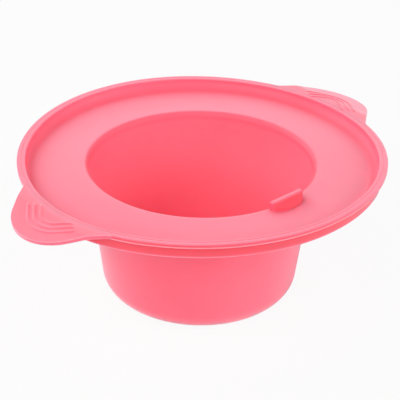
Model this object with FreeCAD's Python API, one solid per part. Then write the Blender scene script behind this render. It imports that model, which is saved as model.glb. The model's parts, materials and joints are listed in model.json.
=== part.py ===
import FreeCAD, Part
import math
import os

# Removable pot for a wax warmer, moulded in soft silicone, in millimetres.
# The pot stands on its base at z = 0 with its axis along Z.
# The two ears lie along X and the scraper bar stands on the -Y side of the opening.

# Heights and radii of the flange
total_height = 69.5
flange_radius = 85.0
ledge_thickness = 2.0
ledge_inner_radius = 81.2
ledge_round = 0.6
ledge_inner_round = 0.5
rim_wall_radius = 83.0
rim_foot_round = 0.8
deck_drop = 5.3
deck_thickness = 2.3
deck_fillet = 3.2

# Bowl, measured on its outer face where the deck's underside meets it
bowl_top_radius = 52.8
bowl_skin = 1.2
bowl_taper_deg = 7.0
heel_radius = 10.0
opening_round = 2.7
under_deck_fillet = 1.5
lip_width = 2.3
lip_depth = 4.0

# Ears, drawn flat along +X and then bent down at the hinge line
ear_tip_centre = 78.8
ear_tip_radius = 23.8
ear_tip_half_angle_deg = 52.0
ear_root_fillet = 5.5
ear_root_radius = 84.4
ear_hinge_x = 85.8
ear_droop_deg = 12.0

# Raised grip arches on each ear
ridge_centre = 81.5
ridge_outer_radius = 14.2
ridge_pitch = 2.8
ridge_count = 3
ridge_half_angle_deg = 38.0
ridge_width = 1.4
ridge_height = 0.5
ridge_leg_end = 86.6

# Scraper bar
bar_length = 18.5
bar_thickness = 2.2
bar_height = 4.7
bar_back_y = -53.3
bar_root = 0.6
bar_foot_bulge = 4.0
bar_top_bulge = 0.3
bar_corner_round = 0.8
bar_edge_round = 0.6

# Levels and radii that follow from the dimensions above
ledge_under = total_height - ledge_thickness
deck_top = total_height - deck_drop
deck_under = deck_top - deck_thickness
hinge_z = total_height - ledge_thickness / 2
taper = math.radians(bowl_taper_deg)
inner_offset = bowl_skin / math.cos(taper)
deck_outer_radius = ledge_inner_radius - deck_fillet

axis_z = FreeCAD.Vector(0, 0, 1)
axis_y = FreeCAD.Vector(0, 1, 0)
origin = FreeCAD.Vector(0, 0, 0)
tolerance = 1e-5


def outer_wall_radius(z):
    """Radius of the bowl's outer face at height z, before any rounding."""
    return bowl_top_radius - (deck_under - z) * math.tan(taper)


def section_point(radius, z):
    return FreeCAD.Vector(radius, 0, z)


def on_circle(centre, radius, angle):
    """Point of a circle in the XZ section plane."""
    return section_point(centre.x + radius * math.cos(angle), centre.z + radius * math.sin(angle))


def line(start, end):
    return Part.LineSegment(start, end).toShape()


def arc_about(centre, radius, first, last):
    """Arc in the section plane from one angle to another."""
    middle = on_circle(centre, radius, (first + last) / 2)
    arc = Part.Arc(on_circle(centre, radius, first), middle, on_circle(centre, radius, last))
    return arc.toShape()


def chain(*items):
    """Closed wire through points and ready-made edges, with straight lines between them."""
    edges = []
    first = None
    last = None
    for item in items:
        is_point = isinstance(item, FreeCAD.Vector)
        start = item if is_point else item.firstVertex(True).Point
        if last is None:
            first = start
        elif start.distanceToPoint(last) > tolerance:
            edges.append(line(last, start))
        if is_point:
            last = item
        else:
            edges.append(item)
            last = item.lastVertex(True).Point
    if last.distanceToPoint(first) > tolerance:
        edges.append(line(last, first))
    return Part.Wire(edges)


def other_side(shape):
    """Copy of a feature of the +X side on the -X side."""
    turned = shape.copy()
    turned.rotate(origin, axis_z, 180)
    return turned


def ring(wire):
    """Full turn of a section about the pot's axis."""
    return Part.Face(wire).revolve(origin, axis_z, 360)


# Bowl: floor, rounded heel, tapered wall and the rounded lip of the opening
heel_wall_z = heel_radius - heel_radius * math.sin(taper)
heel_centre_r = outer_wall_radius(heel_wall_z) - heel_radius * math.cos(taper)
heel_centre = section_point(heel_centre_r, heel_radius)
heel_inner_radius = heel_radius - bowl_skin
heel_start = -math.pi / 2
heel_end = -taper


def wall_cut(z):
    """Outer and inner point of a cut square to the tapered wall, with the outer point at z."""
    outer = section_point(outer_wall_radius(z), z)
    inner = section_point(
        outer.x - bowl_skin * math.cos(taper),
        z + bowl_skin * math.sin(taper),
    )
    return outer, inner


def bowl_floor():
    return Part.makeCylinder(heel_centre_r, bowl_skin)


def bowl_heel():
    outside = arc_about(heel_centre, heel_radius, heel_start, heel_end)
    inside = arc_about(heel_centre, heel_inner_radius, heel_end, heel_start)
    return ring(chain(outside, inside))


def bowl_wall():
    low_outer, low_inner = wall_cut(heel_wall_z)
    high_outer, high_inner = wall_cut(deck_under - lip_depth)
    return ring(chain(low_outer, high_outer, high_inner, low_inner))


lip_centre_z = deck_top - opening_round
lip_wall_z = lip_centre_z + opening_round * math.sin(taper)
lip_centre_r = outer_wall_radius(lip_wall_z) - inner_offset + opening_round * math.cos(taper)
lip_outer_radius = lip_centre_r + lip_width


def opening_lip():
    cut_outer, cut_inner = wall_cut(deck_under - lip_depth)
    lip_centre = section_point(lip_centre_r, lip_centre_z)
    lip_round = arc_about(lip_centre, opening_round, math.pi - taper, math.pi / 2)
    fillet_z = deck_under - under_deck_fillet
    fillet_wall_z = fillet_z + under_deck_fillet * math.sin(taper)
    fillet_r = outer_wall_radius(fillet_wall_z) + under_deck_fillet * math.cos(taper)
    fillet_centre = section_point(fillet_r, fillet_z)
    under_fillet = arc_about(fillet_centre, under_deck_fillet, math.pi / 2, math.pi - taper)
    deck_edge_top = section_point(lip_outer_radius, deck_top)
    deck_edge_under = section_point(lip_outer_radius, deck_under)
    return ring(chain(cut_inner, lip_round, deck_edge_top, deck_edge_under, under_fillet, cut_outer))


# Flange: drip deck, raised rim wall and the overhanging ledge with its two ears
def drip_deck():
    low_inner = section_point(lip_outer_radius, deck_under)
    low_outer = section_point(deck_outer_radius, deck_under)
    high_outer = section_point(deck_outer_radius, deck_top)
    high_inner = section_point(lip_outer_radius, deck_top)
    return ring(chain(low_inner, low_outer, high_outer, high_inner))


def rim_wall():
    foot_centre = section_point(rim_wall_radius - rim_foot_round, deck_under + rim_foot_round)
    foot = arc_about(foot_centre, rim_foot_round, -math.pi / 2, 0)
    fillet_centre = section_point(deck_outer_radius, deck_top + deck_fillet)
    fillet = arc_about(fillet_centre, deck_fillet, 0, -math.pi / 2)
    start = section_point(deck_outer_radius, deck_under)
    top_outer = section_point(rim_wall_radius, ledge_under)
    top_inner = section_point(ledge_inner_radius, ledge_under)
    return ring(chain(start, foot, top_outer, top_inner, fillet))


def plan_point(x, y):
    return FreeCAD.Vector(x, y, ledge_under)


def plan_arc(centre, radius, first, last):
    """Arc in the ledge's plan from one angle to another."""
    points = []
    for angle in (first, (first + last) / 2, last):
        points.append(centre + FreeCAD.Vector(radius * math.cos(angle), radius * math.sin(angle), 0))
    return Part.Arc(*points).toShape()


# One side of an ear: tip arc, straight side, then a fillet into the flange's circle
ear_tangent = math.radians(ear_tip_half_angle_deg)
ear_side_start = plan_point(
    ear_tip_centre + ear_tip_radius * math.cos(ear_tangent),
    ear_tip_radius * math.sin(ear_tangent),
)
ear_side_run = FreeCAD.Vector(-math.sin(ear_tangent), math.cos(ear_tangent), 0)
ear_side_normal = FreeCAD.Vector(math.cos(ear_tangent), math.sin(ear_tangent), 0)


def root_fillet():
    """Centre of the fillet that touches the ear's straight side and the flange from outside."""
    base = ear_side_start + ear_side_normal * ear_root_fillet
    base.z = 0
    reach = flange_radius + ear_root_fillet
    along = base.dot(ear_side_run)
    run = -along - math.sqrt(along ** 2 - base.dot(base) + reach ** 2)
    centre = base + ear_side_run * run
    return plan_point(centre.x, centre.y)


fillet_centre_plan = root_fillet()
ear_root_angle = math.atan2(fillet_centre_plan.y, fillet_centre_plan.x)


def half_outline():
    """Outer edge of the flange from the -Y side round the +X ear to the +Y side."""
    upper = fillet_centre_plan
    lower = plan_point(upper.x, -upper.y)
    toward_flange = ear_root_angle + math.pi
    toward_side = ear_tangent + math.pi
    tip = plan_point(ear_tip_centre, 0)
    middle = plan_point(0, 0)
    return [
        plan_arc(middle, flange_radius, -math.pi / 2, -ear_root_angle),
        plan_arc(lower, ear_root_fillet, -toward_flange, -toward_side),
        plan_arc(tip, ear_tip_radius, -ear_tangent, ear_tangent),
        plan_arc(upper, ear_root_fillet, toward_side, toward_flange),
        plan_arc(middle, flange_radius, ear_root_angle, math.pi / 2),
    ]


def edge_middle(edge):
    return edge.valueAt((edge.FirstParameter + edge.LastParameter) / 2)


def is_outer_edge(edge):
    """True for the level edges along the outline of the ledge and its ears."""
    middle = edge_middle(edge)
    is_level = edge.BoundBox.ZLength < tolerance
    return is_level and math.hypot(middle.x, middle.y) > ear_root_radius


def is_inner_top_edge(edge):
    """True for the upper edge of the ledge above the rim wall's inner face."""
    middle = edge_middle(edge)
    on_inner_circle = abs(math.hypot(middle.x, middle.y) - ledge_inner_radius) < tolerance
    return on_inner_circle and abs(middle.z - total_height) < tolerance


def flange_plate():
    """Flat ledge with both ears, its outer edges and its inner top edge rounded."""
    far_half = [other_side(edge) for edge in half_outline()]
    outline = Part.Face(chain(*half_outline(), *far_half))
    plate = outline.extrude(FreeCAD.Vector(0, 0, ledge_thickness))
    hole = Part.makeCylinder(ledge_inner_radius, ledge_thickness, plan_point(0, 0))
    plate = plate.cut(hole)
    plate = plate.makeFillet(ledge_round, [edge for edge in plate.Edges if is_outer_edge(edge)])
    inner_edges = [edge for edge in plate.Edges if is_inner_top_edge(edge)]
    return plate.makeFillet(ledge_inner_round, inner_edges)


def ear_sector():
    """Everything outside the ear's root circle between the two ends of its root fillets."""
    reach = 2 * flange_radius
    depth = 4 * ledge_thickness
    base = FreeCAD.Vector(0, 0, ledge_under - ledge_thickness)
    corner = FreeCAD.Vector(reach * math.cos(ear_root_angle), reach * math.sin(ear_root_angle), base.z)
    mirrored = FreeCAD.Vector(corner.x, -corner.y, base.z)
    wedge = Part.Face(chain(base, mirrored, corner)).extrude(FreeCAD.Vector(0, 0, depth))
    return wedge.cut(Part.makeCylinder(ear_root_radius, depth, base))


def beyond_hinge():
    """Half space outside the mitre plane that halves the ear's bend."""
    size = 2 * flange_radius
    block = Part.makeBox(size, size, size, FreeCAD.Vector(ear_hinge_x, -size / 2, hinge_z - size / 2))
    block.rotate(FreeCAD.Vector(ear_hinge_x, 0, hinge_z), axis_y, ear_droop_deg / 2)
    return block


def bent_down(shape):
    """Copy of a flat ear feature, turned down about the hinge line."""
    turned = shape.copy()
    turned.rotate(FreeCAD.Vector(ear_hinge_x, 0, hinge_z), axis_y, ear_droop_deg)
    return turned


def grip_ridge(radius):
    """One raised arch: an arc round the ear's root with two straight legs."""
    tangent = math.radians(ridge_half_angle_deg)
    centre = FreeCAD.Vector(ridge_centre, 0, total_height)

    def leg_end(arc_radius):
        start_x = ridge_centre + arc_radius * math.cos(tangent)
        start_y = arc_radius * math.sin(tangent)
        run = (start_x - ridge_leg_end) / math.sin(tangent)
        return FreeCAD.Vector(ridge_leg_end, start_y + run * math.cos(tangent), total_height)

    outer_radius = radius + ridge_width / 2
    inner_radius = radius - ridge_width / 2
    outer_end = leg_end(outer_radius)
    inner_end = leg_end(inner_radius)
    mirrored_outer = FreeCAD.Vector(outer_end.x, -outer_end.y, outer_end.z)
    mirrored_inner = FreeCAD.Vector(inner_end.x, -inner_end.y, inner_end.z)
    outside = plan_arc(centre, outer_radius, -tangent, tangent)
    inside = plan_arc(centre, inner_radius, tangent, -tangent)
    wire = chain(mirrored_outer, outside, outer_end, inner_end, inside, mirrored_inner)
    return Part.Face(wire).extrude(FreeCAD.Vector(0, 0, ridge_height))


def grip_ridges():
    arches = []
    for index in range(ridge_count):
        arches.append(grip_ridge(ridge_outer_radius - index * ridge_pitch))
    return Part.makeCompound(arches)


def bar_outline(bulge, z):
    """Plan of the bar at one level: a straight back and a front that bulges between the ends."""
    half = bar_length / 2
    front_y = bar_back_y - bar_thickness
    right_front = FreeCAD.Vector(half, front_y, z)
    left_front = FreeCAD.Vector(-half, front_y, z)
    crown = FreeCAD.Vector(0, front_y - bulge, z)
    front = Part.Arc(right_front, crown, left_front).toShape()
    return chain(FreeCAD.Vector(-half, bar_back_y, z), FreeCAD.Vector(half, bar_back_y, z), front)


def scraper_bar():
    """Upright bar, bulging to a wider foot at its front, whose root follows the lip and deck under it."""
    foot = bar_outline(bar_foot_bulge, deck_top - bar_root)
    top = bar_outline(bar_top_bulge, deck_top + bar_height)
    bar = Part.makeLoft([foot, top], True, True)
    upright = [edge for edge in bar.Edges if edge.BoundBox.ZLength > bar_height / 2]
    bar = bar.makeFillet(bar_corner_round, upright)
    top_edges = [edge for edge in bar.Edges if edge.BoundBox.ZMin > deck_top + bar_height / 2]
    bar = bar.makeFillet(bar_edge_round, top_edges)
    return bar.cut(opening_lip()).cut(drip_deck())


plate = flange_plate()
right_sector = ear_sector()
left_sector = other_side(right_sector)
flat_ear = plate.common(right_sector)
right_tab = bent_down(flat_ear).common(beyond_hinge())
right_web = flat_ear.cut(beyond_hinge())
right_ridges = bent_down(grip_ridges())

nodes = {
    "bowl_floor": bowl_floor(),
    "bowl_heel": bowl_heel(),
    "bowl_wall": bowl_wall(),
    "opening_lip": opening_lip(),
    "drip_deck": drip_deck(),
    "rim_wall": rim_wall(),
    "rim_ledge": plate.cut(right_sector).cut(left_sector),
    "scraper_bar": scraper_bar(),
    "right_ear_web": right_web,
    "left_ear_web": other_side(right_web),
    "right_ear_tab": right_tab,
    "left_ear_tab": other_side(right_tab),
    "right_ear_ridges": right_ridges,
    "left_ear_ridges": other_side(right_ridges),
}

os.makedirs("parts", exist_ok=True)
for name, shape in nodes.items():
    box = shape.BoundBox
    print(
        f"{name}: {len(shape.Solids)} solid(s), valid {shape.isValid()}, {shape.Volume:.1f} mm3, "
        f"x {box.XMin:.2f} to {box.XMax:.2f}, y {box.YMin:.2f} to {box.YMax:.2f}, "
        f"z {box.ZMin:.2f} to {box.ZMax:.2f}"
    )
    shape.exportStep(f"parts/{name}.step")
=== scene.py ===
# %% [markdown]
# A soft pot for a wax warmer
#
# The pot is one moulding of coral pink silicone: a round bowl that hangs in the warmer, a wide
# deck that catches drips, a raised rim, two ears to lift it by and a small bar to wipe a spatula on.
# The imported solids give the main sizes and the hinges, so this lesson only adds the skin: meshes
# with soft edges, a silicone finish, and a plain studio to look at them in.

# %% Load the frame
import json
import math

import bmesh
import bpy
import numpy as np
from mathutils import Matrix, Vector


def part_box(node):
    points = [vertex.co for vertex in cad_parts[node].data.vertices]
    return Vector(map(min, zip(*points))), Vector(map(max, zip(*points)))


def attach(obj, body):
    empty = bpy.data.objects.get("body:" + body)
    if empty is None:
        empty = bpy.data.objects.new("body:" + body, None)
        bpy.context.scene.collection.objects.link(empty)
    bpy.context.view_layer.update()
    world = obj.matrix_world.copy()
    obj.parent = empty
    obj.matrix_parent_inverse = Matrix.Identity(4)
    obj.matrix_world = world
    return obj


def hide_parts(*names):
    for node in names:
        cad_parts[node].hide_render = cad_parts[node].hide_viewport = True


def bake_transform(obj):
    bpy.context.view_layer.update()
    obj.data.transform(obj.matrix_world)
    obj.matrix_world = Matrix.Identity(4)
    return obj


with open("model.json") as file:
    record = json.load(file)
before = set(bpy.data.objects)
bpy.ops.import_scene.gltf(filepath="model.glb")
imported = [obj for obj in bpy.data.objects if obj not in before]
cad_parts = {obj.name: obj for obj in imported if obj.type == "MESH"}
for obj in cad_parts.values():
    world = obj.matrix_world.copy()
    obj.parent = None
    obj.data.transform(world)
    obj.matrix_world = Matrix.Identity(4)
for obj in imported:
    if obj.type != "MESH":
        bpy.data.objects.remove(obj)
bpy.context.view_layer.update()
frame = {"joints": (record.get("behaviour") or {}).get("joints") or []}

# %% [markdown]
# Sizes
#
# A skin that is drawn from its own numbers drifts away from the solid under it. Here the levels and
# radii are read from the boxes of the solids, and only what a box can't tell, such as the size
# of a round, is written down. Blender works in metres, so small sizes are given with a millimetre.

# %% Read the levels and radii
mm = 0.001


def lowest(node):
    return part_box(node)[0]


def highest(node):
    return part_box(node)[1]


ledge_top = highest("rim_ledge").z
ledge_under = lowest("rim_ledge").z
flange_radius = highest("rim_ledge").y
rim_wall_radius = highest("rim_wall").x
deck_top = highest("drip_deck").z
deck_under = lowest("drip_deck").z
deck_outer_radius = highest("drip_deck").x
bowl_thickness = highest("bowl_floor").z
heel_centre_radius = highest("bowl_floor").x
print(f"flange {2 * flange_radius / mm:.1f} mm across, {ledge_top / mm:.1f} mm high")

# %% [markdown]
# The section of the pot
#
# A moulded bowl is a body of revolution, so one closed half section describes all of it: under the
# base, up the outside, round the rim, over the deck, and down the inside. A Screw modifier could
# turn such a line, but the ears need a gap in the rim, so the rings are laid by code further on.
# Every corner of the real pot is soft, so the line turns in arcs. Its points also carry a mark of
# painted light for the finish: painted highlights on rounded edges, and painted shade in corners,
# under the ledge and on faces turned from the lamps.

# %% A tracer for half sections
section_step = 1.6 * mm
arc_steps = 9
same_place = 0.01 * mm


class Section:
    """Radius and height from point to point, with a mark of painted light: above 0 a painted highlight,
    below 0 painted shade.
    """

    def __init__(self, radius, height):
        self.places = [(radius, height)]
        self.marks = [0.0]

    def line(self, radius, height, step=section_step, mark=0.0):
        """Runs straight to a point and returns its row."""
        start = np.array(self.places[-1])
        end = np.array((radius, height))
        count = max(1, round(float(np.linalg.norm(end - start)) / step))
        for share in np.arange(1, count + 1) / count:
            self.places.append(tuple(start + (end - start) * share))
            self.marks.append(mark)
        return len(self.places) - 1

    def arc(self, centre, radius, first_deg, last_deg, steps=arc_steps, mark=0.0, crest=0.0):
        """Runs straight to the arc's first point and then along it. The crest's mark is in its middle."""
        for angle in np.radians(np.linspace(first_deg, last_deg, steps + 1)):
            place = (centre[0] + radius * math.cos(angle), centre[1] + radius * math.sin(angle))
            if math.dist(place, self.places[-1]) > same_place:
                self.places.append(place)
                share = (math.degrees(angle) - first_deg) / (last_deg - first_deg)
                self.marks.append(mark + crest * math.sin(math.pi * share))
        return len(self.places) - 1


# %% The bowl's wall leans
taper_deg = 7.0
taper = math.radians(taper_deg)
heel_radius = 10.0 * mm
heel_centre = (heel_centre_radius, heel_radius)
heel_wall_z = heel_radius * (1 - math.sin(taper))
heel_wall_radius = heel_centre_radius + heel_radius * math.cos(taper)


def outer_wall(z):
    return heel_wall_radius + (z - heel_wall_z) * math.tan(taper)


def inner_wall(z):
    return outer_wall(z) - bowl_thickness / math.cos(taper)


def corner_beside_wall(wall, level, radius):
    """Centre of a round of that radius between the leaning wall and a level face outside it."""
    z = level - radius
    touch = z + radius * math.sin(taper)
    return wall(touch) + radius * math.cos(taper), z


opening_round = 2.7 * mm
under_deck_fillet = 1.5 * mm
lip_rise = 0.85 * mm
lip_level = deck_top + lip_rise
lip_centre = corner_beside_wall(inner_wall, lip_level, opening_round)
fillet_centre = corner_beside_wall(outer_wall, deck_under + lip_rise, under_deck_fillet)
print(f"opening {2 * (lip_centre[0] - opening_round) / mm:.1f} mm across")

# %% Trace the outside up to the rim's seam
floor_step = 3.0 * mm
wall_step = 2.2 * mm
rim_wall_step = 1.0 * mm
rim_corner_step = 0.2 * mm
heel_steps = 14
rim_foot_round = 0.6 * mm
rim_foot_radius = rim_wall_radius - rim_foot_round
# Painted highlight on the round at the foot of the rim's wall, and painted shade on the wall and under
# the ledge.
rim_foot_highlight = 1.0
rim_wall_shade = -0.8
under_ledge_shade = -1.0
ledge_corner_fillet = 0.4 * mm
seam_radius = 83.4 * mm

section = Section(0.0, 0.0)
section.line(heel_centre_radius, 0.0, floor_step)
section.arc(heel_centre, heel_radius, -90, -taper_deg, heel_steps)
section.line(outer_wall(fillet_centre[1]), fillet_centre[1], wall_step)
section.arc(fillet_centre, under_deck_fillet, 180 - taper_deg, 90)
section.line(rim_foot_radius, deck_under)
section.arc((rim_foot_radius, deck_under + rim_foot_round), rim_foot_round, -90, 0, crest=rim_foot_highlight)
section.line(rim_wall_radius, deck_under + 2 * rim_foot_round, mark=rim_wall_shade)
section.line(rim_wall_radius, ledge_under - ledge_corner_fillet, rim_wall_step, under_ledge_shade)
seam_under_row = section.line(seam_radius, ledge_under, rim_corner_step, under_ledge_shade)
print(f"{len(section.places)} points from the base to the seam under the rim")

# %% Trace the rim, with a fine groove along its bead
ledge_step = 0.5 * mm
ledge_round = 0.4 * mm
ledge_edge_radius = flange_radius - ledge_round
# Painted shade under the ledge, on the upper part of its outer face and in the groove; painted highlights
# on its lower edge and along the inner crest.
ledge_face_shade = -0.5
ledge_highlight_rise = 0.65 * mm
ledge_shade_rise = 0.95 * mm
ledge_shade_end = 1.1 * ledge_round
ledge_lower_highlight = 0.75
ledge_upper_face_shade = -1.0
groove_width = 1.0 * mm
groove_depth = 0.12 * mm
groove_steps = 10
groove_shade = -0.6
rim_corner = 3.2 * mm
ledge_inner_radius = deck_outer_radius + rim_corner
ledge_inner_round = 0.6 * mm
ledge_inner_centre = (ledge_inner_radius + ledge_inner_round, ledge_top - ledge_inner_round)
ledge_inner_highlight = 0.4

section.line(ledge_edge_radius, ledge_under, ledge_step, ledge_face_shade)
section.arc((ledge_edge_radius, ledge_under + ledge_round), ledge_round, -90, 0, mark=ledge_lower_highlight)
section.line(flange_radius, ledge_under + ledge_highlight_rise, mark=ledge_lower_highlight)
section.line(flange_radius, ledge_under + ledge_shade_rise, mark=ledge_upper_face_shade)
section.line(flange_radius, ledge_top - ledge_shade_end, mark=ledge_upper_face_shade)
section.arc((ledge_edge_radius, ledge_top - ledge_round), ledge_round, 0, 90)
seam_top_row = section.line(seam_radius, ledge_top, ledge_step)
for share in np.arange(1, groove_steps + 1) / groove_steps:
    groove = math.sin(math.pi * share) ** 2
    groove_level = ledge_top - groove_depth * groove
    section.line(seam_radius - groove_width * share, groove_level, mark=groove_shade * groove)
section.line(ledge_inner_centre[0], ledge_top, ledge_step)
crest_row = section.arc(ledge_inner_centre, ledge_inner_round, 90, 180, crest=ledge_inner_highlight)
print(f"the ear's seam takes {seam_top_row - seam_under_row} rows of the rim")

# %% Trace the deck and the inside
gutter_wall_step = 0.6 * mm
gutter_round = 4.6 * mm
gutter_radius = ledge_inner_radius - gutter_round
gutter_steps = 16
lip_steps = 16
heel_inner_radius = heel_radius - bowl_thickness
heel_inner_z = heel_radius - heel_inner_radius * math.sin(taper)
heel_inner_steps = 12

section.line(ledge_inner_radius, deck_top + gutter_round, gutter_wall_step)
section.arc((gutter_radius, deck_top + gutter_round), gutter_round, 0, -90, gutter_steps)
lip_row = section.line(lip_centre[0], lip_level)
section.arc(lip_centre, opening_round, 90, 180 - taper_deg, lip_steps)
section.line(inner_wall(heel_inner_z), heel_inner_z, wall_step)
section.arc(heel_centre, heel_inner_radius, -taper_deg, -90, heel_inner_steps)
section.line(0.0, bowl_thickness, floor_step)
print(f"{len(section.places)} points round the half section")

# %% [markdown]
# The outline of an ear
#
# Seen from above, an ear is a wide rounded tongue: an arc at its tip, a short straight side, and a
# small fillet where it runs into the round flange. A Bezier curve could be shaped by hand to look
# like that, but arcs that touch each other give the same line with five numbers. The ear is
# described by the length along its edge, counted from the middle of the tip, so that points can be
# spread evenly over it.

# %% Measure the ear's edge
ear_tip_centre = np.array((78.8 * mm, 0.0))
ear_tip_radius = 23.8 * mm
ear_side_turn = math.radians(52.0)
ear_root_fillet = 5.5 * mm


def toward(turn):
    return np.array((math.cos(turn), math.sin(turn)))


side_normal = toward(ear_side_turn)
side_run = toward(ear_side_turn + math.pi / 2)
side_start = ear_tip_centre + ear_tip_radius * side_normal


def length_of_side():
    """How far the straight side runs before its fillet touches the flange's circle."""
    base = side_start + ear_root_fillet * side_normal
    along = base @ side_run
    reach = flange_radius + ear_root_fillet
    return -along - math.sqrt(along ** 2 - base @ base + reach ** 2)


side_length = length_of_side()
root_centre = side_start + side_length * side_run + ear_root_fillet * side_normal
root_turn = math.atan2(root_centre[1], root_centre[0])
tip_length = ear_tip_radius * ear_side_turn
half_edge = tip_length + side_length + ear_root_fillet * (ear_side_turn - root_turn)
print(f"each ear takes {2 * math.degrees(root_turn):.1f} degrees of the rim")

# %% Place and direction along the ear's edge
def ear_edge(length):
    """Place and outward direction on the edge of the flat +X ear."""
    rest = abs(length)
    if rest <= tip_length:
        normal = toward(rest / ear_tip_radius)
        place = ear_tip_centre + ear_tip_radius * normal
    elif rest <= tip_length + side_length:
        normal = side_normal
        place = side_start + (rest - tip_length) * side_run
    else:
        normal = toward(ear_side_turn - (rest - tip_length - side_length) / ear_root_fillet)
        place = root_centre - ear_root_fillet * normal
    mirror = np.array((1.0, math.copysign(1.0, length)))
    return place * mirror, normal * mirror


print(f"the tip of a flat ear is {ear_edge(0.0)[0][0] / mm:.1f} mm from the bowl's axis")

# %% [markdown]
# A soft flange hangs a little out of level
#
# Silicone two millimetres thick doesn't stay flat when it is stood on a table: the ears' weight
# pulls their side of the rim down by about a millimetre, the flange leans, one stretch of it lifts
# in a low wave, and the bowl sits a little off its centre. A lattice could bend the finished meshes,
# but a formula that moves every point by its place round the rim does the same for all pieces at
# once, so that none of them can come apart.

# %% How far the flange hangs
lean = 0.95 * mm
lean_turn = math.radians(-25.0)
ear_sag = 0.97 * mm
wave_height = 0.72 * mm
wave_turn = math.radians(-140.0)
wave_half_width = math.radians(46.0)
bowl_shift = np.array((-0.65, -0.08)) * mm


def smooth_share(value, start, end):
    """0 up to the start, 1 from the end on, and a soft step between."""
    share = np.clip((value - start) / (end - start), 0.0, 1.0)
    return share * share * (3.0 - 2.0 * share)


def hung(places):
    """The same points on the flange as it hangs: nothing at the opening, all of it at the rim."""
    places = np.array(places, float)
    turn = np.arctan2(places[:, 1], places[:, 0])
    radius = np.hypot(places[:, 0], places[:, 1])
    from_wave = np.abs((turn - wave_turn + math.pi) % (2.0 * math.pi) - math.pi)
    wave = wave_height * (1.0 - smooth_share(from_wave, 0.0, wave_half_width))
    sag = lean * np.cos(turn - lean_turn) - ear_sag * np.cos(2.0 * turn) + wave
    on_flange = smooth_share(radius, lip_centre[0], rim_wall_radius)
    places[:, 2] += sag * on_flange
    places[:, :2] += bowl_shift * (1.0 - on_flange)[:, None]
    return places


rim_hang = hung([(*flange_radius * toward(math.radians(turn)), 0.0) for turn in range(360)])[:, 2]
print(f"the rim hangs from {rim_hang.min() / mm:.2f} to {rim_hang.max() / mm:+.2f} mm off level")

# %% [markdown]
# Where the bloom is gone, and painted shade
#
# Moulded silicone often wears a powdery bloom, which makes its open faces look pale. Here it is gone
# inside the bowl. Along the gutter's wall it is taken off too, and thinned near it and round the bar,
# as painted shadow of the rim, longest at the back, and of the bar. A mask could be painted by hand,
# but these places follow the section, so a formula gives each point its share. Where the bloom is
# off, the colour gets painted shade in the gutter and on the lip, and painted light down the wall of
# the bowl, stronger towards the bottom.

# %% How bare the section is, with the rim's painted shadow
rim_shadow_turn = math.radians(46.95)
gutter_shadow_radius = 78.6 * mm
gutter_fade_least = 1.0 * mm
gutter_fade_most = 7.0 * mm
gutter_fade_power = 2.6
lip_bare_start = 0.16
lip_bare_end = 0.58


def bare_and_shadow_share(row, turn):
    """1 on the gutter's wall and in the bowl, 0 on the open faces. On the deck the gutter's share is
    painted shadow of the rim, longest at the back.
    """
    radius = section.places[row][0]
    if row <= crest_row:
        return 0.0
    if row <= lip_row:
        # Painted shadow of the rim on the deck, reaching furthest at the back.
        shadow_side = ((1.0 + math.cos(turn - rim_shadow_turn)) / 2) ** gutter_fade_power
        fade = gutter_fade_least + (gutter_fade_most - gutter_fade_least) * shadow_side
        return math.exp(-max(0.0, gutter_shadow_radius - radius) / fade)
    inside = (lip_centre[0] - radius) / opening_round
    return float(smooth_share(inside, lip_bare_start, lip_bare_end))


print(f"the gutter's wall is {bare_and_shadow_share(crest_row + 1, rim_shadow_turn):.2f} bare")

# %% Painted shade and light on the bare silicone
# Painted shade in the gutter and on the lip, and painted light down the bowl's wall, stronger lower down.
gutter_shade = -0.38
lip_shade = -0.33
lip_shade_end = 0.5 * opening_round
wall_light_start = 1.1 * opening_round
wall_light_top = 0.304
wall_light_gain = 0.19
wall_light_depth = 30.0 * mm


def painted_light_tone(row, bare_and_shade):
    """The section's own mark, with painted shade in the gutter and on the lip and painted light down the
    bowl's wall, in the share where the bloom is off.
    """
    height = section.places[row][1]
    if row > lip_row:
        depth = lip_level - height
        below = float(smooth_share(depth, 0.0, wall_light_depth))
        past_lip = float(smooth_share(depth, lip_shade_end, wall_light_start))
        shade = lip_shade + (wall_light_top + wall_light_gain * below - lip_shade) * past_lip
    else:
        shade = gutter_shade * (ledge_top - height) / (ledge_top - deck_top)
    return section.marks[row] + shade * bare_and_shade


floor_row = len(section.places) - 1
print(f"marks {painted_light_tone(lip_row + 1, 1.0):.2f} on the lip and {painted_light_tone(floor_row, 1.0):.2f} on the bowl's floor")

# %% Painted shadow of the scraper bar on the deck
bar_low, bar_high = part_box("scraper_bar")
bar_stretch = 0.5 * mm
bar_middle_x = (bar_low.x + bar_high.x + bar_stretch) / 2
bar_half_length = (bar_high.x - bar_low.x + bar_stretch) / 2
bar_back = bar_high.y
bar_depth = 2.4 * mm
bar_bulge = 3.4 * mm
bar_bulge_power = 2.4
bar_shadow_gap = 0.8 * mm
bar_shadow_reach = 3.6 * mm
bar_shadow_end_fall = 2.4
bar_shadow_share = 0.7
bar_shadow_mark = -0.25


def bulge_share(along):
    """How much of the bulge the bar's front has, from 1 in the middle to 0 at its ends."""
    return 1.0 - min(1.0, abs(along)) ** bar_bulge_power


def bar_shadow(place):
    """Painted shadow of the bar: 1 at its foot, fading over some millimetres of the deck, and sooner past
    its ends.
    """
    along = (place[0] - bar_middle_x) / bar_half_length
    past_end = max(0.0, abs(along) - 1.0) * bar_half_length
    front = bar_back - bar_depth - bar_bulge * bulge_share(along)
    aside = max(0.0, front - place[1], place[1] - bar_back)
    away = max(0.0, math.hypot(bar_shadow_end_fall * past_end, aside) - bar_shadow_gap)
    return math.exp(-away / bar_shadow_reach)


print(f"the bar is {2 * bar_half_length / mm:.1f} mm long and bulges {bar_bulge / mm:.1f} mm at its foot")

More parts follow.
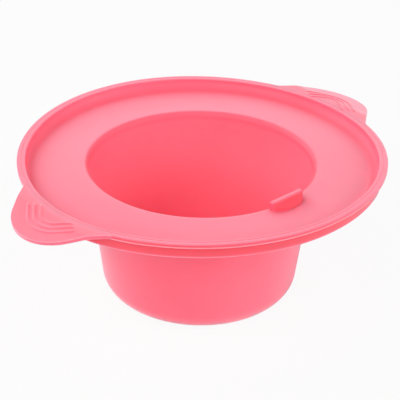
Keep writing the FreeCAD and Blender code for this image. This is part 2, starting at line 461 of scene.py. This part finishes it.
# %% [markdown]
# The pot's own skin
#
# The section is laid down once per column all the way round. Across each ear the ledge stops at a
# seam on its flat top, where the ear's own mesh takes over, and the cut is closed with hidden faces
# so that the pot stays a watertight body. A Boolean would leave long thin faces there, which shade
# badly, and rings that know about the gap stay clean quads.

# %% A helper that turns points and faces into a smooth piece
sharp_angle = math.radians(50.0)


def stored(mesh, name, values):
    """Keeps one number per point with the mesh, for the finish to read."""
    attribute = mesh.attributes.new(name, "FLOAT", "POINT")
    attribute.data.foreach_set("value", np.array(values, np.float32))


def made_piece(name, places, faces, marks, bare_and_shade_shares):
    mesh = bpy.data.meshes.new(name)
    mesh.from_pydata([tuple(place) for place in hung(places)], [], faces)
    work = bmesh.new()
    work.from_mesh(mesh)
    bmesh.ops.recalc_face_normals(work, faces=work.faces[:])
    open_edges = sum(not edge.is_manifold for edge in work.edges)
    volume = work.calc_volume(signed=True)
    work.to_mesh(mesh)
    work.free()
    mesh.shade_smooth()
    mesh.set_sharp_from_angle(angle=sharp_angle)
    # Per point: the mark of painted light and shade, and the share of bare silicone and painted shade
    # that takes the bloom off.
    stored(mesh, "painted_light_mark", marks)
    stored(mesh, "bare_and_shade_share", bare_and_shade_shares)
    piece = bpy.data.objects.new(name, mesh)
    bpy.context.scene.collection.objects.link(piece)
    print(f"{name}: {len(faces)} faces, {open_edges} open edges, {volume / mm ** 3:.0f} mm3")
    return piece


# %% Columns round the pot
ear_columns = 32
side_columns = 109
half_turn_columns = ear_columns + side_columns
ear_turns = np.linspace(-root_turn, root_turn, ear_columns + 1)
side_turns = np.linspace(root_turn, math.pi - root_turn, side_columns + 1)
half_turns = np.concatenate((ear_turns[:-1], side_turns[:-1]))
column_turns = np.concatenate((half_turns, half_turns + math.pi))
column_count = len(column_turns)


def in_ear(cell):
    """True for the gap between a column and the next where an ear grows from the rim."""
    return cell % half_turn_columns < ear_columns


print(f"{column_count} columns, {ear_columns} of them across each ear")

# %% Lay the rings
def pot_skin():
    last_row = len(section.places) - 1
    places, marks, bare_and_shade_shares, faces, known = [], [], [], [], {}

    def point(column, row, cut):
        """Index of a point, which is made when it is first asked for."""
        column %= column_count
        on_edge = seam_under_row < row < seam_top_row
        at_pole = row in (0, last_row)
        key = (0 if at_pole else column, row, cut and on_edge)
        if key not in known:
            radius, height = section.places[row]
            if cut and on_edge:
                share = (row - seam_under_row) / (seam_top_row - seam_under_row)
                radius, height = seam_radius, ledge_under + share * (ledge_top - ledge_under)
            turn = column_turns[column]
            known[key] = len(places)
            places.append((radius * math.cos(turn), radius * math.sin(turn), height))
            bare_and_shade = bare_and_shadow_share(row, turn)
            # Painted shadow of the scraper bar on the deck, as deeper colour and less bloom.
            bar_shade = bar_shadow(places[-1]) if crest_row < row <= lip_row else 0.0
            marks.append(painted_light_tone(row, bare_and_shade) + bar_shadow_mark * bar_shade)
            bare_and_shade_shares.append(max(bare_and_shade, bar_shadow_share * bar_shade))
        return known[key]

    def face(*corners):
        """Adds a face, leaving out corners that fall together."""
        kept = list(dict.fromkeys(corners))
        if len(kept) > 2:
            faces.append(kept)

    for cell in range(column_count):
        cut = in_ear(cell)
        for row in range(last_row):
            face(
                point(cell, row, cut),
                point(cell + 1, row, cut),
                point(cell + 1, row + 1, cut),
                point(cell, row + 1, cut),
            )
        if cut != in_ear(cell - 1):
            for row in range(seam_under_row, seam_top_row):
                face(
                    point(cell, row, False),
                    point(cell, row + 1, False),
                    point(cell, row + 1, True),
                    point(cell, row, True),
                )
    return made_piece("pot_skin", places, faces, marks, bare_and_shade_shares)


pot = pot_skin()

# %% [markdown]
# Ears with grip arches
#
# Each ear is a tongue as thick as the ledge, with three low arches moulded into its top so that wet
# or waxy fingers hold on. The arches could be a bump texture, but they catch light along their
# sides and show in outline, so they are part of the mesh: a fine grid whose height follows the
# distance to an arc with two straight legs. The two ears differ a little, so each has its own droop
# and its own place for the arches.

# %% Height of the grip arches over the flat ear
arch_centre_x = 81.5 * mm
arch_outer_radius = 14.7 * mm
arch_pitch = 2.8 * mm
arch_count = 3
arch_turn = math.radians(38.0)
arch_leg = 4.4 * mm
arch_leg_share = 0.375
arch_leg_fade = 2.4 * mm
arch_height = 0.42 * mm
arch_crest = 0.25 * mm
arch_foot = 0.85 * mm


def crest_share(x, y):
    """1 on the crests of the arches over the flat ear, 0 between them."""
    out = x - arch_centre_x
    aside = np.abs(y)
    across = out * math.cos(arch_turn) + aside * math.sin(arch_turn)
    along = aside * math.cos(arch_turn) - out * math.sin(arch_turn)
    share = np.zeros_like(x)
    for index in range(arch_count):
        radius = arch_outer_radius - index * arch_pitch
        off = np.where(along > 0, np.abs(across - radius), np.abs(np.hypot(out, aside) - radius))
        leg = arch_leg + arch_leg_share * radius
        fade = 1.0 - smooth_share(along, leg - arch_leg_fade, leg)
        share = np.maximum(share, fade * (1.0 - smooth_share(off, arch_crest, arch_foot)))
    return share


print(f"{arch_count} arches, the outer one {2 * arch_outer_radius / mm:.1f} mm across")

# %% Bend the flat ear down over its hinge strip
ear_joint = {joint["child"]: joint for joint in frame["joints"]}
hinge_x = ear_joint["right_ear"]["pos_m"][0]
hinge_z = ear_joint["right_ear"]["pos_m"][2]
flex_start = 83.9 * mm
flex_end = 90.5 * mm


def drooped(places, droop):
    """Points of the flat +X ear, turned down about the hinge line more and more across the strip."""
    places = np.array(places, float)
    turn = droop * smooth_share(places[:, 0], flex_start, flex_end)
    out = places[:, 0] - hinge_x
    up = places[:, 2] - hinge_z
    places[:, 0] = hinge_x + out * np.cos(turn) + up * np.sin(turn)
    places[:, 2] = hinge_z - out * np.sin(turn) + up * np.cos(turn)
    return places


print(f"hinge line {hinge_x / mm:.1f} mm out and {hinge_z / mm:.1f} mm up")

# %% One column of an ear, from the seam over its edge and back
ear_top_rows = 76
ear_under_rows = 14
ear_edge_steps = 7


def seam_point(share):
    """Point of the pot's own seam, on the straight runs between its columns."""
    corners = seam_radius * np.stack((np.cos(ear_turns), np.sin(ear_turns)), axis=1)
    spot = share * ear_columns
    index = min(int(spot), ear_columns - 1)
    return corners[index] + (corners[index + 1] - corners[index]) * (spot - index)


def ear_column(share):
    """Closed loop across the ear: over the top, round the edge, and back underneath."""
    seam = seam_point(share)
    edge, normal = ear_edge((2.0 * share - 1.0) * half_edge)
    brink = edge - ledge_round * normal
    loop, marks = [], []
    for row in range(ear_top_rows + 1):
        spot = seam + (brink - seam) * row / ear_top_rows
        loop.append((spot[0], spot[1], ledge_top))
        marks.append(0.0)
    for level, first in ((ledge_top - ledge_round, 90.0), (ledge_under + ledge_round, 0.0)):
        for step in range(ear_edge_steps + 1):
            angle = math.radians(first - 90.0 * step / ear_edge_steps)
            spot = brink + ledge_round * math.cos(angle) * normal
            # The upper round starts at the last point of the top, which is there already.
            if first == 0.0 or step > 0:
                loop.append((spot[0], spot[1], level + ledge_round * math.sin(angle)))
                # Painted highlight on the rounds of the ear's edge.
                marks.append(math.sin(math.pi * step / ear_edge_steps))
    for row in range(1, ear_under_rows + 1):
        spot = brink + (seam - brink) * row / ear_under_rows
        loop.append((spot[0], spot[1], ledge_under))
        marks.append(0.0)
    return loop, marks


print(len(ear_column(0.5)[0]), "points in each loop across an ear")

# %% Painted light and shade on the ear's top
ear_top_shade = -0.26
ear_root_shade = -0.2
ear_blend = 3.0 * mm
arch_crest_highlight = 0.1
arch_side_shade = -0.6


def ear_painted_light(flat, crest):
    """Painted shade over the ear's top, more on its root and at the arches' sides, and a painted
    highlight on their crests.
    """
    # Painted highlight on the arches' crests and painted shade on their sides.
    relief = arch_crest_highlight * crest ** 2 + arch_side_shade * crest * (1.0 - crest)
    off_seam = smooth_share(np.hypot(flat[:, 0], flat[:, 1]), seam_radius, seam_radius + ear_blend)
    at_root = 1.0 - smooth_share(flat[:, 0], flex_start, flex_end + ear_blend)
    return relief + (ear_top_shade + ear_root_shade * at_root) * off_seam


# %% Mesh the ears
ear_grid_columns = 7 * ear_columns
right_droop = math.radians(11.0)
left_droop = math.radians(13.0)
right_arch_offset = np.array((-1.8, -0.9)) * mm
left_arch_offset = np.array((0.0, 0.9)) * mm


def ear_skin(name, droop, arch_offset, half_turn):
    columns = [ear_column(column / ear_grid_columns) for column in range(ear_grid_columns + 1)]
    flat = np.array([place for loop, marks in columns for place in loop])
    marks = np.array([mark for loop, marks in columns for mark in marks])
    loop_length = len(columns[0][0])
    on_top = np.arange(len(flat)) % loop_length <= ear_top_rows
    crest = crest_share(flat[:, 0] - arch_offset[0], flat[:, 1] - arch_offset[1])
    flat[on_top, 2] += arch_height * crest[on_top]
    marks = marks + np.where(on_top, ear_painted_light(flat, crest), 0.0)
    places = drooped(flat, droop)
    if half_turn:
        places[:, :2] *= -1.0
    faces = []
    for column in range(ear_grid_columns):
        start = column * loop_length
        for row in range(loop_length):
            here = start + row
            after = start + (row + 1) % loop_length
            faces.append((here, after, after + loop_length, here + loop_length))
    last = ear_grid_columns * loop_length
    faces.append(tuple(range(loop_length)))
    faces.append(tuple(range(last, last + loop_length)))
    return made_piece(name, places, faces, marks, np.zeros(len(marks)))


right_ear = ear_skin("right_ear_skin", right_droop, right_arch_offset, False)
left_ear = ear_skin("left_ear_skin", left_droop, left_arch_offset, True)

# %% [markdown]
# The scraper bar
#
# A short bar beside the opening, where the spatula is wiped. Its back is straight. Its front bulges
# towards the rim at the foot and leans back to a thin straight top edge. It is moulded with the
# deck, so the front runs out in a small fillet, and the foot follows the round lip. A bevelled cube
# has no such front or foot, so the bar is a stack of outlines whose bulge dies away towards the top.

# %% Where the bar stands
def deck_surface(radius):
    """Height of the deck, or of the opening's round lip inside it."""
    inside = max(0.0, lip_centre[0] - radius)
    lip = lip_centre[1] + math.sqrt(max(0.0, opening_round ** 2 - inside ** 2))
    outside = max(0.0, radius - lip_centre[0]) / (gutter_radius - lip_centre[0])
    return lip - lip_rise * outside


bar_base = deck_surface(-bar_back)
bar_height = bar_high.z - bar_base
print(f"the bar stands {bar_height / mm:.1f} mm high at its back")

# %% One outline of the bar
bar_corner = 0.7 * mm
bar_corner_steps = 6
bar_front_steps = 36
bar_end_share = 0.3
bar_end_power = 12


def bar_outline(back_inset, front_inset, bulge):
    """Straight back with two rounded corners, and a front that bulges between the bar's ends."""
    spots = []
    for side, first in ((1, 0.0), (-1, math.pi / 2)):
        centre_x = bar_middle_x + side * (bar_half_length - bar_corner)
        centre = np.array((centre_x, bar_back - bar_corner))
        for step in range(bar_corner_steps + 1):
            turn = first + math.pi / 2 * step / bar_corner_steps
            spots.append(centre + (bar_corner - back_inset) * toward(turn))
    depth = bar_depth - front_inset
    for step in range(bar_front_steps + 1):
        along = -math.cos(math.pi * step / bar_front_steps)
        x = bar_middle_x + along * (bar_half_length - back_inset)
        end_round = bar_end_share * depth * abs(along) ** bar_end_power
        spots.append(np.array((x, bar_back - depth - bulge * bulge_share(along) + end_round)))
    return spots


bar_outline_size = len(bar_outline(0.0, 0.0, bar_bulge))
print(bar_outline_size, "points in each outline of the bar")

# %% The levels of the stack
bar_fillet = 0.9 * mm
bar_side_fillet = 0.2 * mm
bar_sunk = 0.4 * mm
bar_embed = 0.12 * mm
bar_top_round = 1.0 * mm
bar_back_round = 0.3 * mm
bar_front_round = 1.2 * mm
bar_round_steps = 6
bar_face_steps = 12
bar_lean_power = 1.5
# Painted shade on the bar's foot, fillet and face, which turn away from the light at the back.
bar_foot_shade = -0.4
bar_fillet_shade = -0.35
bar_face_shade = -0.8


def bar_levels():
    """Insets, bulge, height over the deck, painted shade mark and share without bloom of each outline,
    foot to top.
    """
    levels = [(-bar_side_fillet, -bar_fillet, bar_bulge, -bar_sunk, bar_foot_shade, 1.0)]
    quarter = np.linspace(0.0, math.pi / 2, bar_round_steps + 1)
    for turn in quarter[:-1]:
        spread = 1 - math.sin(turn)
        height = bar_fillet * (1 - math.cos(turn)) - bar_embed
        mark = bar_foot_shade + bar_fillet_shade * math.sin(turn)
        levels.append((-bar_side_fillet * spread, -bar_fillet * spread, bar_bulge, height, mark, 1.0))
    face_top = bar_height - bar_top_round
    for share in np.linspace(0.0, 1.0, bar_face_steps + 1):
        bulge = bar_bulge * (1.0 - share ** bar_lean_power)
        height = bar_fillet + (face_top - bar_fillet) * share
        levels.append((0.0, 0.0, bulge, height, bar_face_shade, 1.0))
    for turn in quarter[1:]:
        inset = 1 - math.cos(turn)
        height = bar_height - bar_top_round * (1 - math.sin(turn))
        # The top round gets painted light: its painted shade and share without bloom fall away towards
        # the top.
        bare_and_shade = math.cos(turn) ** 2
        mark = bar_face_shade * bare_and_shade
        levels.append((bar_back_round * inset, bar_front_round * inset, 0.0, height, mark, bare_and_shade))
    return levels


print(len(bar_levels()), "outlines from the bar's foot to its top")

# %% Stack the bar's outlines
# Painted light on the bar's left end, towards the lamps on the left.
bar_left_light_start = 0.8
bar_left_light_share = 0.5


def scraper_bar():
    places, marks, bare_and_shade_shares, faces = [], [], [], []
    for back_inset, front_inset, bulge, height, mark, bare_and_shade in bar_levels():
        for spot in bar_outline(back_inset, front_inset, bulge):
            drop = deck_surface(float(np.hypot(*spot))) - bar_base
            follow = min(1.0, max(0.0, 1.0 - height / bar_height))
            places.append((spot[0], spot[1], bar_base + height + drop * follow))
            toward_left = (bar_middle_x - spot[0]) / bar_half_length
            lit_left_end = bar_left_light_share * float(smooth_share(toward_left, bar_left_light_start, 1.0))
            marks.append(mark * (1.0 - lit_left_end))
            bare_and_shade_shares.append(bare_and_shade)
    size = bar_outline_size
    for low in range(0, len(places) - size, size):
        for index in range(size):
            here = low + index
            after = low + (index + 1) % size
            faces.append((here, after, after + size, here + size))
    faces.append(tuple(range(size)))
    faces.append(tuple(range(len(places) - size, len(places))))
    return made_piece("scraper_bar_skin", places, faces, marks, bare_and_shade_shares)


bar = scraper_bar()

# %% [markdown]
# Silicone
#
# Dyed silicone is matte and a little translucent: light soaks in and comes out pinker, and the mould
# leaves a fine satin grain with faint clouds where the rubber flowed. A single colour would look
# like paint. The colour is mixed from textures and from the marks of painted highlight and painted
# shade that the points carry, so a small class lets sums of nodes be written as plain expressions,
# and one method adds any other node. The powdery bloom is sheen. There are two shaders, with and
# without bloom, and each point's share of bare silicone and painted shade mixes them.

# %% A small kit for writing finishes
class Value:
    """An output socket that sums can be written with. Each sum adds a Math node."""

    def __init__(self, finish, socket):
        self.finish = finish
        self.socket = socket

    def __add__(self, other):
        return self.finish.maths("ADD", self, other)

    def __sub__(self, other):
        return self.finish.maths("SUBTRACT", self, other)

    def __rsub__(self, other):
        return self.finish.maths("SUBTRACT", other, self)

    def __mul__(self, other):
        return self.finish.maths("MULTIPLY", self, other)

    __radd__ = __add__
    __rmul__ = __mul__


class Finish:
    """The nodes of a material or of the world."""

    def __init__(self, owner):
        owner.use_nodes = True
        self.tree = owner.node_tree
        self.tree.nodes.clear()

    def add(self, kind, settings=None, sockets=None, output=0):
        """A node of that kind with its settings, then the values or links of its sockets."""
        node = self.tree.nodes.new(kind)
        for name, setting in (settings or {}).items():
            setattr(node, name, setting)
        for key, given in (sockets or {}).items():
            if isinstance(given, Value):
                self.tree.links.new(given.socket, node.inputs[key])
            else:
                node.inputs[key].default_value = given
        return Value(self, node.outputs[output]) if len(node.outputs) else None

    def maths(self, operation, first, second):
        return self.add("ShaderNodeMath", {"operation": operation}, {0: first, 1: second})

    def mixed(self, share, first, second):
        """Colour between two others."""
        return self.add(
            "ShaderNodeMix", {"data_type": "RGBA"}, {"Factor": share, 6: first, 7: second}, output=2
        )

    def band(self, value, low, high):
        """0 below low, 1 above high, and a smooth step between."""
        return self.add(
            "ShaderNodeMapRange",
            {"interpolation_type": "SMOOTHSTEP"},
            {"Value": value, "From Min": low, "From Max": high},
        )

    def noise(self, place, scale, detail):
        sockets = {"Vector": place, "Scale": scale, "Detail": detail}
        return self.add("ShaderNodeTexNoise", sockets=sockets)

    def point_value(self, name):
        """The number that the mesh keeps at each point under that name."""
        return self.add("ShaderNodeAttribute", {"attribute_name": name}, output="Fac")


# %% Dye, painted light and surface of the silicone
dye_coral = (0.985, 0.150, 0.236, 1.0)
dye_deep = (0.980, 0.138, 0.218, 1.0)
# Coral and deep are the dye's clouds; the thick colour is painted shade and the edge colour painted
# highlight.
painted_shade_colour = (0.975, 0.066, 0.104, 1.0)
painted_highlight_colour = (0.990, 0.350, 0.445, 1.0)
painted_highlight_share = 0.85
cloud_scale = 28.0
cloud_band = (0.35, 0.7)
grain_scale = 2600.0
ripple_scale = 90.0
grain_in_bump = 0.25
bump_strength = 0.25
bump_depth = 0.12 * mm
matte = 0.44
grain_matte = 0.10
cloud_matte = 0.06
edge_polish = 0.05


def moulded_surface(finish):
    """Colour, roughness and bump of the silicone, as sockets for its shaders."""
    place = finish.add("ShaderNodeTexCoord", output="Object")
    clouds = finish.noise(place, cloud_scale, detail=3.0)
    grain = finish.noise(place, grain_scale, detail=2.0)
    ripple = finish.noise(place, ripple_scale, detail=1.0)
    # The points' marks: above 0 painted highlight, which the edge mask holds, and below 0 painted shade.
    painted_light_mark = finish.point_value("painted_light_mark")
    edge = finish.band(painted_light_mark, 0.0, 1.0)
    shade_share = finish.band(0.0 - painted_light_mark, 0.0, 1.0)
    dyed = finish.mixed(finish.band(clouds, *cloud_band), dye_deep, dye_coral)
    with_painted_shade = finish.mixed(shade_share, dyed, painted_shade_colour)
    colour = finish.mixed(painted_highlight_share * edge, with_painted_shade, painted_highlight_colour)
    roughness = matte + grain_matte * grain + cloud_matte * clouds - edge_polish * edge
    relief = grain_in_bump * grain + ripple
    bump = finish.add(
        "ShaderNodeBump",
        sockets={"Strength": bump_strength, "Distance": bump_depth, "Height": relief},
    )
    return {"Base Color": colour, "Roughness": roughness, "Normal": bump}


# %% Two shaders, with and without bloom
silicone_ior = 1.41
glow_weight = 0.8
glow_depth = 4.0 * mm
glow_reach = (1.0, 0.2, 0.25)
bloom_weight = 0.71
bloom_roughness = 0.55
bloom_tint = (1.0, 0.88, 1.0, 1.0)


def silicone():
    material = bpy.data.materials.new("coral_silicone")
    finish = Finish(material)
    surface = moulded_surface(finish)

    def moulded(bloom):
        return finish.add(
            "ShaderNodeBsdfPrincipled",
            {"subsurface_method": "BURLEY"},
            {
                **surface,
                "IOR": silicone_ior,
                "Subsurface Weight": glow_weight,
                "Subsurface Radius": glow_reach,
                "Subsurface Scale": glow_depth,
                "Sheen Weight": bloom,
                "Sheen Roughness": bloom_roughness,
                "Sheen Tint": bloom_tint,
            },
        )

    # Each point's share of bare silicone and of painted shade takes the bloom off.
    shaders = {"Fac": finish.point_value("bare_and_shade_share"), 1: moulded(bloom_weight), 2: moulded(0.0)}
    shader = finish.add("ShaderNodeMixShader", sockets=shaders)
    finish.add("ShaderNodeOutputMaterial", sockets={"Surface": shader})
    return material


coral_silicone = silicone()
for piece in (pot, right_ear, left_ear, bar):
    piece.data.materials.append(coral_silicone)
print("finish:", coral_silicone.name, "with", len(coral_silicone.node_tree.nodes), "nodes")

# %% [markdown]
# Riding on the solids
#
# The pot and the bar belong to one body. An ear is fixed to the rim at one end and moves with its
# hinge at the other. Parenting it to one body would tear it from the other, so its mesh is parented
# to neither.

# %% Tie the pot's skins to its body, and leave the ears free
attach(pot, "pot")
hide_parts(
    "bowl_floor", "bowl_heel", "bowl_wall", "opening_lip", "drip_deck", "rim_wall", "rim_ledge"
)
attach(bar, "pot")
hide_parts("scraper_bar")
for ear, body, side in ((right_ear, "right_ear", 1), (left_ear, "left_ear", -1)):
    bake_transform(ear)
    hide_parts(body + "_web", body + "_tab", body + "_ridges")

# %% [markdown]
# Floor and surroundings
#
# The pot stands on white paper in pale surroundings. White paper alone would flood the pot with
# light from below, so the floor and the world are white to the eye of the camera and greyer to the
# light that bounces off them. The floor still keeps a trace of the pot's shadow.

# %% Floor
white = (1.0, 1.0, 1.0, 1.0)
paper_grey = (0.75, 0.75, 0.75, 1.0)
floor_half = 4.0
floor_level = -0.2 * mm
floor_whiteness = 0.92


def seen_directly(finish):
    """1 for what the camera sees, also in a mirror or through glass, and 0 for light that bounces."""
    camera = finish.add("ShaderNodeLightPath", output="Is Camera Ray")
    glossy = finish.add("ShaderNodeLightPath", output="Is Glossy Ray")
    through = finish.add("ShaderNodeLightPath", output="Is Transmission Ray")
    return camera + glossy + through


def studio_floor():
    mesh = bpy.data.meshes.new("studio_floor")
    sides = ((-1, -1), (1, -1), (1, 1), (-1, 1))
    corners = [(side * floor_half, back * floor_half, floor_level) for side, back in sides]
    mesh.from_pydata(corners, [], [(0, 1, 2, 3)])
    floor = bpy.data.objects.new("studio_floor", mesh)
    bpy.context.scene.collection.objects.link(floor)
    material = bpy.data.materials.new("floor_paper")
    finish = Finish(material)
    shaders = {
        "Fac": floor_whiteness * seen_directly(finish),
        1: finish.add("ShaderNodeBsdfDiffuse", sockets={"Color": paper_grey}),
        2: finish.add("ShaderNodeEmission", sockets={"Color": white, "Strength": 1.0}),
    }
    shader = finish.add("ShaderNodeMixShader", sockets=shaders)
    finish.add("ShaderNodeOutputMaterial", sockets={"Surface": shader})
    mesh.materials.append(material)
    return floor


print("floor:", studio_floor().name)

# %% World
world_strength = 0.3


def studio_world():
    world = bpy.data.worlds.new("studio")
    bpy.context.scene.world = world
    finish = Finish(world)
    strength = world_strength + (1.0 - world_strength) * seen_directly(finish)
    sky = finish.add("ShaderNodeBackground", sockets={"Color": white, "Strength": strength})
    finish.add("ShaderNodeOutputWorld", sockets={"Surface": sky})
    return world


print("world:", studio_world().name)

# %% [markdown]
# Soft boxes
#
# The pot's shading is gentle and has no hard shadow, so the light came from broad lamps. A sun lamp
# would cut edges that such light never makes. Four square lamps stand round the table as the
# photographer sees it: the key at the back on the left, one on the left, a low one on the right,
# and a fill in front on the left.

# %% Lamps
view_turn = math.radians(-43.05)


def softbox(name, right, back, up, size, power):
    """Square lamp, placed as the photographer sees the table, and turned to the pot."""
    lamp = bpy.data.lights.new(name, "AREA")
    lamp.shape = "SQUARE"
    lamp.size = size
    lamp.energy = power
    box = bpy.data.objects.new(name, lamp)
    box.location = Matrix.Rotation(view_turn, 3, "Z") @ Vector((right, back, up))
    aim = Vector((0.0, 0.0, deck_top))
    box.rotation_euler = (aim - box.location).to_track_quat("-Z", "Y").to_euler()
    bpy.context.scene.collection.objects.link(box)
    print(f"{name}: {size} m wide, {power} W")


softbox("key_light", right=-0.85, back=0.75, up=0.72, size=1.0, power=6.4)
softbox("left_light", right=-1.2, back=0.0, up=0.7, size=1.0, power=3.4)
softbox("right_light", right=1.15, back=-0.25, up=0.42, size=0.8, power=8.0)
softbox("fill_light", right=-0.55, back=-1.0, up=0.85, size=1.2, power=11.2)
bpy.context.scene.view_settings.view_transform = "Standard"

# %% [markdown]
# Camera
#
# The view is from about 29 degrees above the table, with a long lens that keeps the pot's curves
# calm. A Track To constraint could aim the camera, but it can't tilt the horizon, so the turn, the
# height and a slight roll are written as rotations.

# %% Place the camera
view_elevation = math.radians(28.99)
view_distance = 0.6318
view_roll = math.radians(1.163)
view_aim = Vector((-0.5 * mm, 0.4 * mm, 43.8 * mm))
lens_mm = 121.0
sensor_mm = 36.0
nearest_seen = 0.01


def photographer():
    camera = bpy.data.cameras.new("photographer")
    camera.lens = lens_mm
    camera.sensor_width = sensor_mm
    camera.clip_start = nearest_seen
    standing = bpy.data.objects.new("photographer", camera)
    turned = Matrix.Rotation(view_turn, 4, "Z") @ Matrix.Rotation(math.pi / 2 - view_elevation, 4, "X")
    place = view_aim + turned.to_3x3() @ Vector((0, 0, view_distance))
    standing.matrix_world = Matrix.Translation(place) @ turned @ Matrix.Rotation(view_roll, 4, "Z")
    bpy.context.scene.collection.objects.link(standing)
    bpy.context.scene.camera = standing
    print("camera at", [round(x, 3) for x in place])


photographer()
